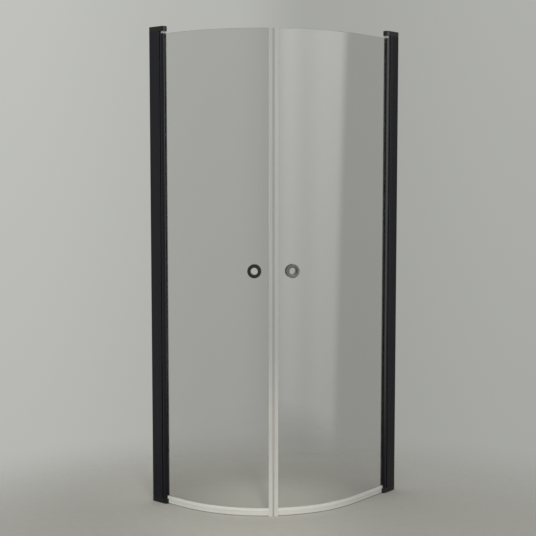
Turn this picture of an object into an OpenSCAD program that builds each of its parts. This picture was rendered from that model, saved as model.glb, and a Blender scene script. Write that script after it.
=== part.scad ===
// Corner shower enclosure: two curved glass doors that hang on black posts screwed to the walls.
// Each side is drawn in its own frame: x away from the wall, y inward from the outer face of the post.

/* [Overall] */
// Length along the left wall, from the room corner to the outer face of the left post
left_wall_len = 805; // [760:5:900]
// Length along the right wall, from the room corner to the outer face of the right post
right_wall_len = 697; // [660:5:900]
// Height of the enclosure above the floor
total_h = 2000; // [1850:10:2100]

/* [Glass] */
// Radius of the outer face of the curved glass
glass_r = 515; // [470:5:540]
// Thickness of the toughened glass
glass_t = 6; // [5:0.5:8]
// Distance from the outer face of the post in to the outer face of the glass
glass_inset = 10; // [9:0.5:11]
// Distance from the top of the hinge post down to the top edge of the glass
glass_drop = 1; // [0.5:0.5:6]

/* [Wall channel] */
// Width of the post across its two flanks
post_w = 30; // [30:0.5:34]
// Depth of the channel on the wall
channel_d = 44; // [40:1:60]
// Wall of the channel
channel_t = 2; // [1.6:0.1:2.6]
// Radius of the holes for the wall screws
wall_hole_r = 3; // [2:0.25:3.5]
// Height of the lowest and highest wall screw, from the floor and from the top
wall_hole_end = 100; // [60:10:200]
// Distance between the two middle wall screws
wall_hole_mid = 600; // [300:20:800]

/* [Hinge carrier] */
// Distance from the wall to the back of the carrier, which leaves room for the wall screws
carrier_back = 14; // [12:1:16]
// Wall of the sleeve that slides in the channel
sleeve_t = 1.8; // [1.5:0.1:2.4]
// Solid web in front of the channel, which backs the hinge post
web_t = 7.4; // [7:0.2:12]
// Play between the sleeve and the channel on each side
slide_gap = 0.3; // [0.2:0.05:0.4]
// Step between the mouth of the channel and the shoulder of the carrier
shoulder_gap = 0.5; // [0.3:0.1:1]
// Distance that the horns of the cradle stop short of the pivot axis
horn_back = 10; // [9.5:0.5:12]

/* [Hinge post] */
// Difference in radius between the end caps and the hinge post
post_set_in = 0.4; // [0.3:0.1:0.8]
// Gap between the hinge post and its cradle
cradle_gap = 0.5; // [0.4:0.1:1]
// Outer wall of the hinge post
tube_t = 2.2; // [1.8:0.1:2.6]
// Radius of the bore that holds the bushes
bush_bore_r = 4.5; // [4.2:0.1:4.8]
// Wall between the bush bore and the pocket for the glass
pocket_wall = 1.5; // [1.2:0.1:1.5]

/* [End caps and pivots] */
// Height of each end cap
cap_h = 20; // [16:1:30]
// Bevel round the free edge of each cap
cap_bevel = 1; // [0.5:0.25:1.5]
// Height of the slot between the top cap and the hinge post, filled by the collar of the bush
top_slot = 10; // [4:1:14]
// Height of the slot between the bottom cap and the hinge post
base_slot = 2; // [1.5:0.5:4]
// Thickness of the end plate on the hinge post
plate_t = 2; // [1.5:0.5:3]
// Radius of the pivot pins
pin_r = 3; // [2.5:0.1:3.2]
// Play of a pin in its bush, on the radius
pin_play = 0.05; // [0.02:0.01:0.08]
// Length of a pin inside its cap
pin_in_cap = 12; // [8:1:13]
// Length of a pin inside the hinge post
pin_in_post = 26; // [15:1:40]
// Radius of the light collar on each bush
collar_r = 10; // [8:0.5:11]
// Gap between a collar and the cap that it turns on
collar_gap = 0.3; // [0.2:0.05:0.4]
// Length of the spigot of a bush in the hinge post
spigot_l = 30; // [20:1:45]

/* [Glazing gasket] */
// Thickness of the legs of the gasket
gasket_t = 1.4; // [1:0.1:1.6]
// Thickness of the gasket behind the edge of the glass
gasket_floor = 1; // [0.6:0.1:1]
// Distance that the legs of the gasket show past the hinge post
gasket_show = 5.4; // [4:0.2:8]

/* [Bottom seal] */
// Height of the lower edge of the skirt above the floor
skirt_low = 5; // [3:0.5:8]
// Height of the legs that clip over the glass
clip_h = 10.6; // [8:0.2:14]
// Thickness of the legs of the seal
clip_t = 1.6; // [1.2:0.1:2]
// Thickness of the skirt under the glass
skirt_t = 3; // [2:0.2:4]
// Height of the wiper lip above the floor
lip_low = 0.6; // [0.5:0.1:2]
// Thickness of the wiper lip and of the drip fin
lip_t = 1; // [0.8:0.1:1.6]
// Reach of the drip fin inside the shower, from the seal
fin_reach = 6; // [3:0.5:8]
// Gap between the round nose of the bottom cap and the end of the skirt
skirt_gap = 3; // [2.8:0.2:8]

/* [Magnet seals] */
// Gap between the two magnet strips when the doors are closed
seam_gap = 0.3; // [0.2:0.1:1]
// Thickness of each magnet strip
magnet_t = 3.2; // [2:0.2:4]
// Depth of the seal body from the magnet strip to the edge of the glass
seal_head = 6; // [4:0.5:8]
// Length of the legs of the seal along the glass
seal_leg = 9.8; // [7:0.2:14]
// Thickness of the legs of the seal
seal_t = 1.6; // [1.2:0.1:2]

/* [Ring handles] */
// Radius of the finger ring
ring_r = 28; // [25:0.5:34]
// Radius of the finger hole through the ring
finger_r = 14.2; // [12:0.2:15]
// Thickness of each ring
ring_t = 7; // [6:0.5:10]
// Radius of the rounded outer edge of the ring
ring_round = 2.5; // [1.5:0.25:2.75]
// Thickness of the lip of each ring that covers the end of the threaded tube
ring_lip = 2; // [1.5:0.25:3]
// Wall of the threaded tube that joins the two rings
tube_wall = 2.8; // [2:0.2:3]
// Wall of the clear sleeve between that tube and the glass
sleeve_wall = 1.6; // [1:0.1:2]
// Least thickness of the clear washers between the rings and the glass
washer_t = 1; // [0.8:0.1:1.6]
// Height of the handles above the floor
handle_h = 1006; // [900:2:1100]
// Distance along the glass from the seam to the middle of the handle
handle_in = 77; // [60:1:120]

/* [Screws] */
// Radius of the thread of the small screws
screw_r = 1.75; // [1.5:0.05:2]
// Radius of the heads of the side screws
head_r = 3.8; // [3.4:0.1:4.2]
// Height of the heads of the side screws
head_h = 2.2; // [1.8:0.1:2.8]
// Length of the cap screws
cap_screw_l = 34; // [26:1:45]
// Height of the lowest side screw above the floor
side_screw_low = 250; // [150:10:400]
// Distance between neighbouring side screws
side_screw_pitch = 750; // [500:10:780]

/* [Hidden] */
$fn = 96;
ARC_FN = 720;
DOOR_ARC = 45;
OVER = 1;
CLEAR = 0.2;
HEX_R = 1.7;
HEX_DEPTH = 1.3;
PORT_WALL = 1.85;
TONGUE_H = 6;
SINK = 0.5;
SCREW_TIP = 2;
NOTCH_GAP = 0.4;
NOTCH_OVER = 1.4;
PEG_GAP = 0.3;
PEG_L = 8;
PEG_TURN = 50;

nose_r = post_w/2;
mid = post_w/2;
hinge_r = nose_r - post_set_in;
cradle_r = hinge_r + cradle_gap;
axis_u = channel_d + shoulder_gap + web_t + cradle_r;
horn_u = axis_u - horn_back;
chamber_r = hinge_r - tube_t;
pocket_u = axis_u + bush_bore_r + pocket_wall;
pocket_v1 = glass_inset - gasket_t;
pocket_v2 = glass_inset + glass_t + gasket_t;
notch_v1 = glass_inset - clip_t - NOTCH_GAP;
notch_v2 = glass_inset + glass_t + clip_t + NOTCH_GAP;
glass_u = pocket_u + gasket_floor;

post_low = cap_h + base_slot + plate_t;
post_high = total_h - cap_h - top_slot - plate_t;
glass_low = post_low;
glass_high = post_high + plate_t - glass_drop;
clip_low = glass_low - clip_t;
clip_high = glass_low + clip_h;
notch_high = clip_high + NOTCH_OVER;
skirt_u = axis_u + nose_r + skirt_gap;

left_run = right_wall_len - glass_inset - glass_r;
right_run = left_wall_len - glass_inset - glass_r;
arc_v = glass_inset + glass_r;

head_end = seam_gap/2 + magnet_t + seal_head;
seal_end = head_end + seal_leg;
handle_deg = along(handle_in);
tube_r = finger_r + tube_wall;
glass_hole_r = tube_r + sleeve_wall;
washer_r = ring_r - ring_round;
inner_r = glass_r - glass_t - washer_t;
washer_bow = inner_r - sqrt(inner_r*inner_r - washer_r*washer_r);
ring_in = glass_t + washer_bow + washer_t;

port_r = screw_r + PORT_WALL;
port_back = carrier_back + sleeve_t + port_r - OVER;
port_front = channel_d + shoulder_gap + web_t/2;
side_screw_u = (carrier_back + channel_d)/2;
sleeve_low = channel_t + slide_gap;
sleeve_high = post_w - sleeve_low;
sleeve_front = channel_d + shoulder_gap + OVER;

wall_hole_pos = [
    wall_hole_end, total_h/2 - wall_hole_mid/2,
    total_h/2 + wall_hole_mid/2, total_h - wall_hole_end
];
side_screw_pos = [for (i = [0:2]) side_screw_low + i*side_screw_pitch];

// Angle at the arc centre that a length along the outer face of the glass takes
function along(length) = length/glass_r*180/PI;

// Places a side in the frame of the whole enclosure, with the room corner at the left and back
module left_side() {
    translate([-right_wall_len/2, -left_wall_len/2, 0]) children();
}

module right_side() {
    translate([right_wall_len/2, left_wall_len/2, 0]) mirror([1, 1, 0]) children();
}

// Rectangle in plan from the near corner to the far corner
module plan_box(u1, v1, u2, v2) {
    translate([u1, v1]) square([u2 - u1, v2 - v1]);
}

// Sweeps a profile along the door: straight from the post, then round the arc
// The profile has x inward from the outer face of the glass and y up
module along_door(run, start_u, end_in) {
    turn = DOOR_ARC - along(end_in);
    translate([start_u, glass_inset, 0]) rotate([90, 0, 90]) linear_extrude(run - start_u) children();
    translate([run, arc_v, 0]) rotate([0, 0, -90]) rotate_extrude(angle = turn, $fn = ARC_FN)
        translate([glass_r, 0]) mirror([1, 0]) children();
}

// Ring sector beside the seam, from near to far along the glass and from outside to inside
module seam_block(run, near, far, d1, d2, z1, z2, fn = ARC_FN) {
    translate([run, arc_v, 0]) rotate([0, 0, -90 + DOOR_ARC - along(far)])
        rotate_extrude(angle = along(far - near), $fn = fn)
            translate([glass_r - d2, z1]) square([d2 - d1, z2 - z1]);
}

// Puts an axis through the glass at the handle, with z outward and zero on the outer face
module at_handle(run) {
    translate([run, arc_v, handle_h]) rotate([0, 0, -90 + DOOR_ARC - handle_deg])
        rotate([0, 90, 0]) translate([0, 0, glass_r]) children();
}

// Channel that is screwed to the wall, open towards the room
module wall_channel() {
    color("#232426") difference() {
        translate([0, 0, cap_h]) linear_extrude(total_h - 2*cap_h) {
            plan_box(0, 0, channel_t, post_w);
            plan_box(0, 0, channel_d, channel_t);
            plan_box(0, post_w - channel_t, channel_d, post_w);
        }
        for (z = wall_hole_pos)
            translate([-OVER, mid, z]) rotate([0, 90, 0]) cylinder(r = wall_hole_r, h = channel_t + 2*OVER);
        for (z = side_screw_pos)
            translate([side_screw_u, post_w + OVER, z]) rotate([90, 0, 0])
                cylinder(r = screw_r + CLEAR, h = channel_t + 2*OVER);
    }
}

// Extrusion that slides in the channel and cradles the hinge post
module hinge_carrier() {
    color("#26272a") difference() {
        translate([0, 0, cap_h]) linear_extrude(total_h - 2*cap_h) difference() {
            union() {
                difference() {
                    plan_box(carrier_back, sleeve_low, sleeve_front, sleeve_high);
                    plan_box(carrier_back + sleeve_t, sleeve_low + sleeve_t,
                        channel_d - sleeve_t, sleeve_high - sleeve_t);
                }
                plan_box(carrier_back, mid - port_r + OVER, port_back, mid + port_r - OVER);
                translate([port_back, mid]) circle(r = port_r);
                plan_box(channel_d + shoulder_gap, 0, horn_u, post_w);
            }
            translate([axis_u, mid]) circle(r = cradle_r);
            translate([port_back, mid]) circle(r = screw_r);
            translate([port_front, mid]) circle(r = screw_r);
        }
        for (z = side_screw_pos)
            translate([side_screw_u, post_w, z]) rotate([90, 0, 0])
                cylinder(r = screw_r, h = sleeve_low + sleeve_t + OVER);
    }
}

// Pan head screws that lock the carrier in the channel from the inside of the shower
module side_screws() {
    color("#2b2c2e") for (z = side_screw_pos)
        translate([side_screw_u, post_w, z]) difference() {
            union() {
                rotate([-90, 0, 0]) cylinder(r = head_r, h = head_h);
                rotate([90, 0, 0]) cylinder(r = screw_r, h = sleeve_low + sleeve_t + SCREW_TIP);
            }
            translate([0, head_h - HEX_DEPTH, 0]) rotate([-90, 0, 0])
                cylinder(r = HEX_R, h = HEX_DEPTH + OVER, $fn = 6);
        }
}

// Outline of the post in plan: a bar with a half round nose
module cap_body() {
    body_h = cap_h - cap_bevel;
    cube([axis_u, post_w, body_h]);
    translate([axis_u, mid, 0]) cylinder(r = nose_r, h = body_h);
    translate([0, 0, body_h]) rotate([90, 0, 90]) linear_extrude(axis_u)
        polygon([[0, 0], [post_w, 0], [post_w - cap_bevel, cap_bevel], [cap_bevel, cap_bevel]]);
    translate([axis_u, mid, body_h]) cylinder(r1 = nose_r, r2 = nose_r - cap_bevel, h = cap_bevel);
}

// End cap as it lies at the top, drawn from its inner face up, with a tongue in the hollow sleeve
module end_cap() {
    tongue_u = port_back + port_r + CLEAR;
    tongue_v = sleeve_low + sleeve_t + CLEAR;
    difference() {
        cap_body();
        translate([axis_u, mid, -OVER]) cylinder(r = pin_r, h = pin_in_cap + OVER);
        for (u = [port_back, port_front]) translate([u, mid, 0]) {
            translate([0, 0, -OVER]) cylinder(r = screw_r + CLEAR, h = cap_h + 2*OVER);
            translate([0, 0, cap_h - head_h - SINK]) cylinder(r = head_r, h = head_h + SINK + OVER);
        }
    }
    translate([0, 0, -TONGUE_H]) linear_extrude(TONGUE_H + OVER)
        plan_box(tongue_u, tongue_v, channel_d - sleeve_t - CLEAR, post_w - tongue_v);
}

module top_cap() {
    color("#1f2022") translate([0, 0, total_h - cap_h]) end_cap();
}

module bottom_cap() {
    color("#1f2022") translate([0, 0, cap_h]) mirror([0, 0, 1]) end_cap();
}

// One cap screw as it stands at the top, with its head sunk below the face of the cap
module cap_screw() {
    translate([0, 0, cap_h - head_h - SINK]) difference() {
        union() {
            cylinder(r = head_r - CLEAR, h = head_h);
            translate([0, 0, head_h - cap_screw_l]) cylinder(r = screw_r, h = cap_screw_l - OVER);
        }
        translate([0, 0, head_h - HEX_DEPTH]) cylinder(r = HEX_R, h = HEX_DEPTH + OVER, $fn = 6);
    }
}

module cap_screws() {
    color("#8d9093") for (u = [port_back, port_front]) {
        translate([u, mid, total_h - cap_h]) cap_screw();
        translate([u, mid, cap_h]) mirror([0, 0, 1]) cap_screw();
    }
}

// Pivot pins of stainless steel, pressed into the caps
module top_pin() {
    low = total_h - cap_h - top_slot - pin_in_post;
    color("#c3c6c9") translate([axis_u, mid, low])
        cylinder(r = pin_r, h = pin_in_post + top_slot + pin_in_cap);
}

module bottom_pin() {
    color("#c3c6c9") translate([axis_u, mid, cap_h - pin_in_cap])
        cylinder(r = pin_r, h = pin_in_cap + base_slot + pin_in_post);
}

// Section of the hinge post, with the pocket for the glass on the door side
module post_section() {
    difference() {
        union() {
            difference() {
                translate([axis_u, mid]) circle(r = hinge_r);
                translate([axis_u, mid]) circle(r = chamber_r);
            }
            translate([axis_u, mid]) circle(r = bush_bore_r + tube_t);
            intersection() {
                translate([axis_u, mid]) circle(r = chamber_r + tube_t/2);
                union() {
                    plan_box(axis_u - hinge_r, mid - tube_t/2, axis_u, mid + tube_t/2);
                    plan_box(pocket_u - pocket_wall, pocket_v1 - tube_t,
                        pocket_u + hinge_r, pocket_v2 + tube_t);
                }
            }
        }
        translate([axis_u, mid]) circle(r = bush_bore_r);
        plan_box(pocket_u, pocket_v1, pocket_u + hinge_r, pocket_v2);
    }
}

// Opening in the lower end of the post for the clip of the bottom seal
module seal_notch() {
    translate([0, 0, post_low - OVER]) linear_extrude(notch_high - post_low + OVER)
        plan_box(pocket_u, notch_v1, pocket_u + hinge_r, notch_v2);
}

module hinge_post() {
    color("#242528") difference() {
        translate([0, 0, post_low]) linear_extrude(post_high - post_low) post_section();
        seal_notch();
    }
}

// End plate that closes the chambers of the hinge post, with two pegs into them
module end_plate(v1, v2) {
    peg_r = (chamber_r - bush_bore_r - tube_t)/2 - PEG_GAP;
    peg_u = bush_bore_r + tube_t + peg_r + PEG_GAP;
    linear_extrude(plate_t) difference() {
        translate([axis_u, mid]) circle(r = hinge_r);
        translate([axis_u, mid]) circle(r = bush_bore_r);
        plan_box(pocket_u, v1, pocket_u + hinge_r, v2);
    }
    for (side = [-1, 1]) translate([axis_u, mid, -PEG_L])
        rotate([0, 0, 180 + side*PEG_TURN]) translate([peg_u, 0, 0]) cylinder(r = peg_r, h = PEG_L + plate_t/2);
}

module top_plate() {
    color("#1f2022") translate([0, 0, post_high]) end_plate(pocket_v1, pocket_v2);
}

module bottom_plate() {
    color("#1f2022") translate([0, 0, post_low]) mirror([0, 0, 1]) end_plate(notch_v1, notch_v2);
}

// Bush of light acetal with the collar that shows in the slot
module bush(collar_h) {
    translate([axis_u, mid, 0]) difference() {
        union() {
            cylinder(r = collar_r, h = collar_h);
            translate([0, 0, -spigot_l]) cylinder(r = bush_bore_r, h = spigot_l + collar_h/2);
        }
        translate([0, 0, -spigot_l - OVER]) cylinder(r = pin_r + pin_play, h = spigot_l + collar_h + 2*OVER);
    }
}

module top_bush() {
    color("#b9babb") translate([0, 0, post_high + plate_t]) bush(top_slot - collar_gap);
}

module bottom_bush() {
    color("#b9babb") translate([0, 0, post_low - plate_t]) mirror([0, 0, 1]) bush(base_slot - collar_gap);
}

// Door panel of toughened glass, flat at the post and curved towards the seam
module glass(run) {
    color([0.72, 0.78, 0.76, 0.35]) difference() {
        along_door(run, glass_u, head_end) translate([0, glass_low]) square([glass_t, glass_high - glass_low]);
        at_handle(run) translate([0, 0, -glass_t - 2*OVER]) cylinder(r = glass_hole_r, h = glass_t + 4*OVER);
    }
}

// Soft channel that holds the edge of the glass in the hinge post
module glazing_gasket() {
    show_u = axis_u + hinge_r + gasket_show;
    color([0.8, 0.82, 0.82, 0.7]) translate([0, 0, notch_high])
        linear_extrude(glass_high - notch_high) {
            plan_box(pocket_u, pocket_v1, show_u, glass_inset);
            plan_box(pocket_u, glass_inset, glass_u, glass_inset + glass_t);
            plan_box(pocket_u, glass_inset + glass_t, show_u, pocket_v2);
        }
}

// Clip of the bottom seal over the edge of the glass
module clip_profile() {
    translate([-clip_t, clip_low]) square([clip_t, clip_high - clip_low]);
    translate([glass_t, clip_low]) square([clip_t, clip_high - clip_low]);
    translate([-clip_t, clip_low]) square([glass_t + 2*clip_t, clip_t]);
}

// Skirt, wiper lip and drip fin under the clip
module skirt_profile() {
    top = clip_low + clip_t/2;
    union() {
        translate([-clip_t/2, skirt_low]) square([skirt_t, top - skirt_low]);
        polygon([
            [0, skirt_low + OVER], [lip_t, skirt_low + OVER],
            [2*lip_t, lip_low], [lip_t, lip_low]
        ]);
        polygon([
            [glass_t + clip_t - lip_t, top], [glass_t + clip_t, top],
            [glass_t + clip_t + fin_reach, skirt_low + lip_t],
            [glass_t + clip_t + fin_reach - lip_t, skirt_low + lip_t]
        ]);
    }
}

module bottom_seal(run) {
    color([0.86, 0.86, 0.84, 0.8]) {
        along_door(run, glass_u, seal_end + CLEAR) clip_profile();
        along_door(run, skirt_u, seal_end + CLEAR) skirt_profile();
    }
}

// Clear seal clipped on the free edge of the glass, which carries the magnet strip
module magnet_seal(run) {
    color([0.84, 0.85, 0.84, 0.8]) {
        seam_block(run, seam_gap/2 + magnet_t, head_end, -seal_t, glass_t + seal_t, 0, glass_high);
        seam_block(run, head_end - OVER, seal_end, -seal_t, 0, 0, glass_high);
        seam_block(run, head_end - OVER, seal_end, glass_t, glass_t + seal_t, 0, glass_high);
    }
}

module magnet_strip(run) {
    color("#857f73") seam_block(run, seam_gap/2, seam_gap/2 + magnet_t,
        -seal_t + CLEAR, glass_t + seal_t - CLEAR, 0, glass_high);
}

// Finger ring with a rounded outer edge, from its back face up, threaded inside for the tube
module finger_ring() {
    color("#1d1e20") rotate_extrude() difference() {
        union() {
            plan_box(finger_r, 0, ring_r - ring_round, ring_t);
            plan_box(finger_r, 0, ring_r, ring_t - ring_round);
            translate([ring_r - ring_round, ring_t - ring_round]) circle(r = ring_round);
        }
        plan_box(finger_r - OVER, -OVER, tube_r, ring_t - ring_lip);
    }
}

module outer_ring(run) {
    at_handle(run) translate([0, 0, washer_t]) finger_ring();
}

module inner_ring(run) {
    at_handle(run) translate([0, 0, -ring_in]) mirror([0, 0, 1]) finger_ring();
}

// Threaded tube through the glass, which both rings screw on
module ring_tube(run) {
    tube_l = washer_t + ring_in + 2*(ring_t - ring_lip);
    color("#1d1e20") at_handle(run) translate([0, 0, washer_t + ring_t - ring_lip - tube_l]) difference() {
        cylinder(r = tube_r, h = tube_l);
        translate([0, 0, -OVER]) cylinder(r = finger_r, h = tube_l + 2*OVER);
    }
}

// Clear sleeve that keeps the metal tube off the edge of the hole in the glass
module ring_sleeve(run) {
    color([0.85, 0.87, 0.87, 0.6]) at_handle(run) translate([0, 0, -glass_t]) difference() {
        cylinder(r = glass_hole_r, h = glass_t - washer_bow);
        translate([0, 0, -OVER]) cylinder(r = tube_r, h = glass_t + 2*OVER);
    }
}

// Clear washer bent to the glass, between two depths from its outer face
module curved_washer(run, d1, d2) {
    difference() {
        intersection() {
            seam_block(run, handle_in - ring_r, handle_in + ring_r, d1, d2,
                handle_h - ring_r, handle_h + ring_r, 4*ARC_FN);
            at_handle(run) translate([0, 0, -ring_r]) cylinder(r = washer_r, h = 2*ring_r);
        }
        at_handle(run) translate([0, 0, -ring_r - OVER]) cylinder(r = tube_r, h = 2*(ring_r + OVER));
    }
}

module outer_washer(run) {
    color([0.85, 0.87, 0.87, 0.6]) curved_washer(run, -washer_t, 0);
}

module inner_washer(run) {
    color([0.85, 0.87, 0.87, 0.6]) curved_washer(run, glass_t, glass_t + washer_t);
}

left_side() wall_channel();  // left_wall_channel
left_side() hinge_carrier();  // left_hinge_carrier
left_side() side_screws();  // left_side_screws
left_side() top_cap();  // left_top_cap
left_side() bottom_cap();  // left_bottom_cap
left_side() cap_screws();  // left_cap_screws
left_side() top_pin();  // left_top_pin
left_side() bottom_pin();  // left_bottom_pin
left_side() hinge_post();  // left_hinge_post
left_side() top_plate();  // left_top_plate
left_side() bottom_plate();  // left_bottom_plate
left_side() top_bush();  // left_top_bush
left_side() bottom_bush();  // left_bottom_bush
left_side() glass(left_run);  // left_glass
left_side() glazing_gasket();  // left_glazing_gasket
left_side() bottom_seal(left_run);  // left_bottom_seal
left_side() magnet_seal(left_run);  // left_magnet_seal
left_side() magnet_strip(left_run);  // left_magnet_strip
left_side() outer_ring(left_run);  // left_outer_ring
left_side() inner_ring(left_run);  // left_inner_ring
left_side() ring_tube(left_run);  // left_ring_tube
left_side() ring_sleeve(left_run);  // left_ring_sleeve
left_side() outer_washer(left_run);  // left_outer_washer
left_side() inner_washer(left_run);  // left_inner_washer
right_side() wall_channel();  // right_wall_channel
right_side() hinge_carrier();  // right_hinge_carrier
right_side() side_screws();  // right_side_screws
right_side() top_cap();  // right_top_cap
right_side() bottom_cap();  // right_bottom_cap
right_side() cap_screws();  // right_cap_screws
right_side() top_pin();  // right_top_pin
right_side() bottom_pin();  // right_bottom_pin
right_side() hinge_post();  // right_hinge_post
right_side() top_plate();  // right_top_plate
right_side() bottom_plate();  // right_bottom_plate
right_side() top_bush();  // right_top_bush
right_side() bottom_bush();  // right_bottom_bush
right_side() glass(right_run);  // right_glass
right_side() glazing_gasket();  // right_glazing_gasket
right_side() bottom_seal(right_run);  // right_bottom_seal
right_side() magnet_seal(right_run);  // right_magnet_seal
right_side() magnet_strip(right_run);  // right_magnet_strip
right_side() outer_ring(right_run);  // right_outer_ring
right_side() inner_ring(right_run);  // right_inner_ring
right_side() ring_tube(right_run);  // right_ring_tube
right_side() ring_sleeve(right_run);  // right_ring_sleeve
right_side() outer_washer(right_run);  // right_outer_washer
right_side() inner_washer(right_run);  // right_inner_washer
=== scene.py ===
# Corner shower enclosure: two curved glass doors that hang on two black posts.
import math

import bmesh
import bpy
from mathutils import Matrix, Vector


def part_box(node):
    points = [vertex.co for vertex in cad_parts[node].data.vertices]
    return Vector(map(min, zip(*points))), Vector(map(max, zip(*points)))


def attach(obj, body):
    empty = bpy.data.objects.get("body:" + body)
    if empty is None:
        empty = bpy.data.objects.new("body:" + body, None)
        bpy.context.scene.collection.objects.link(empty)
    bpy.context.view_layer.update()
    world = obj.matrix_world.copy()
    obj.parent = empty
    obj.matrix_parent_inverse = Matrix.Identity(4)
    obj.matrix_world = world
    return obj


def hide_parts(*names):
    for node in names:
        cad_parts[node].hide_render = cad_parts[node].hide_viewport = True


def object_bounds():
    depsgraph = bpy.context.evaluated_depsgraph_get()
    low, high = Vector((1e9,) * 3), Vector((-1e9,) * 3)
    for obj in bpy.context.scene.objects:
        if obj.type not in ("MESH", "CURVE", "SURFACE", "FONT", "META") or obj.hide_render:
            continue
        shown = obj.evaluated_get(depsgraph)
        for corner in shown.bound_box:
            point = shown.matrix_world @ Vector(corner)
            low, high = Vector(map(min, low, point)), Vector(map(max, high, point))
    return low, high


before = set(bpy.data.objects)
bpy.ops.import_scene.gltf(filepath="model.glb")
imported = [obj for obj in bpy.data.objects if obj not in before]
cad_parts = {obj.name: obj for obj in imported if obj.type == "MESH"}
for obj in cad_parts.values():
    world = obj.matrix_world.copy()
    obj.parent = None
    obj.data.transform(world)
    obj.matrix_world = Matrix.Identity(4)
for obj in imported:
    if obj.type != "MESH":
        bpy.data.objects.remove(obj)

cad_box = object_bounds()

# Camera: it stands 1.39 m above the floor and 4.4 m in front of the seam. Its place, tilt and lens
# come from a fit to the edges of the posts, seals and glass.
camera_data = bpy.data.cameras.new("camera")
camera_data.sensor_width = 36.0
camera_data.lens = 74.63
camera_aim = Vector((-0.6413, 0.7628, -0.0830))
camera = bpy.data.objects.new("camera", camera_data)
camera.location = (3.02925, -3.65584, 1.38902)
camera.rotation_mode = "QUATERNION"
camera.rotation_quaternion = camera_aim.to_track_quat("-Z", "Y")
bpy.context.collection.objects.link(camera)
bpy.context.scene.camera = camera
bpy.context.scene.view_settings.view_transform = "Standard"


# Wall channels and hinge carriers: extruded aluminium, sawn to length and powder coated satin
# black. The channel is screwed to the wall and the carrier slides in it. The coat rounds every
# sharp edge a little and has a fine orange peel over faint die lines along the extrusion.
def linear(code):
    parts = [int(code[i:i + 2], 16)/255 for i in (1, 3, 5)]
    return [c/12.92 if c <= 0.04045 else ((c + 0.055)/1.055)**2.4 for c in parts] + [1.0]


# Adds one node. An input may be a value, a socket, or a node, which is linked by its first output.
# The stops are those of a colour ramp: its two ends, then any between them.
def add(tree, kind, inputs, stops=(), **settings):
    node = tree.nodes.new(kind)
    for name, value in settings.items():
        setattr(node, name, value)
    for key, value in inputs.items():
        if isinstance(value, bpy.types.Node):
            value = value.outputs[0]
        if isinstance(value, bpy.types.NodeSocket):
            tree.links.new(value, node.inputs[key])
        else:
            node.inputs[key].default_value = value
    for k, (where, colour) in enumerate(stops):
        elements = node.color_ramp.elements
        stop = elements[k] if k < 2 else elements.new(where)
        stop.position, stop.color = where, colour
    return node


def blank_material(name):
    material = bpy.data.materials.new(name)
    material.use_nodes = True
    tree = material.node_tree
    tree.nodes.clear()
    place = add(tree, "ShaderNodeTexCoord", {})
    return material, tree, place.outputs["Object"]


# Baked polyester powder: near black, with a satin sheen that softens the long highlights. The die
# lines are 4 mm apart and the peel 1.4 mm, both coarser than real so that they show.
def powder_coated_aluminium():
    die_lines, peel_scale = (260, 260, 1.5), 700.0
    material, tree, place = blank_material("satin_black_powder_coat")
    lines = add(tree, "ShaderNodeMapping", {"Vector": place, "Scale": die_lines})
    streaks = add(tree, "ShaderNodeTexNoise", {"Vector": lines, "Scale": 1.0, "Detail": 3.0})
    colour = add(tree, "ShaderNodeValToRGB", {"Fac": streaks},
                 stops=((0.35, linear("#080810")), (0.65, linear("#0f0f18"))))
    rough = add(tree, "ShaderNodeMapRange", {"Value": streaks, "To Min": 0.18, "To Max": 0.25})
    peel = add(tree, "ShaderNodeTexNoise", {"Vector": place, "Scale": peel_scale, "Detail": 2.0})
    lift = add(tree, "ShaderNodeBump", {"Height": peel, "Strength": 0.35, "Distance": 0.0001})
    coat = add(tree, "ShaderNodeBsdfPrincipled", {
        "Base Color": colour, "Roughness": rough, "IOR": 1.36, "Normal": lift})
    add(tree, "ShaderNodeOutputMaterial", {"Surface": coat})
    return material


side_frames = {
    "left": Matrix.Translation((cad_box[0].x, cad_box[0].y, 0)),
    "right": Matrix(((0, -1, 0, cad_box[1].x), (-1, 0, 0, cad_box[1].y),
                     (0, 0, 1, 0), (0, 0, 0, 1))),
}


def plain_mesh(piece, name):
    bpy.context.view_layer.update()
    seen = piece.evaluated_get(bpy.context.evaluated_depsgraph_get())
    mesh = bpy.data.meshes.new_from_object(seen)
    bpy.data.objects.remove(piece)
    mesh.name = name
    made = bpy.data.objects.new(name, mesh)
    bpy.context.collection.objects.link(made)
    return made


# The solid's own mesh with its sharp edges rounded. The upright edges at the corners in rounds
# get a radius of their own first.
def softened(side, part, radius, rounds=()):
    weld, on_corner = 2e-6, 1e-5
    flat_turn, sharp_turn = math.radians(0.4), math.radians(30)
    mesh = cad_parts[f"{side}_{part}"].data.copy()
    shell = bmesh.new()
    shell.from_mesh(mesh)
    bmesh.ops.remove_doubles(shell, verts=shell.verts, dist=weld)
    bmesh.ops.dissolve_limit(shell, angle_limit=flat_turn, verts=shell.verts, edges=shell.edges)
    for corner, turn in rounds:
        at = side_frames[side] @ Vector((*corner, 1))
        upright = [edge for edge in shell.edges
                   if all((v.co.xy - at.xy).length < on_corner for v in edge.verts)]
        bmesh.ops.bevel(
            shell, geom=upright, offset=turn, segments=5, profile=0.5, affect="EDGES")
    shell.to_mesh(mesh)
    shell.free()
    draft = bpy.data.objects.new("draft", mesh)
    bpy.context.collection.objects.link(draft)
    edge = draft.modifiers.new("edge", "BEVEL")
    edge.width, edge.segments, edge.limit_method = radius, 2, "ANGLE"
    edge.angle_limit = sharp_turn
    edge.use_clamp_overlap = True
    weigh = draft.modifiers.new("weigh", "WEIGHTED_NORMAL")
    weigh.keep_sharp = True
    for face in mesh.polygons:
        face.use_smooth = True
    return plain_mesh(draft, f"{side}_{part}_finished")


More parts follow.
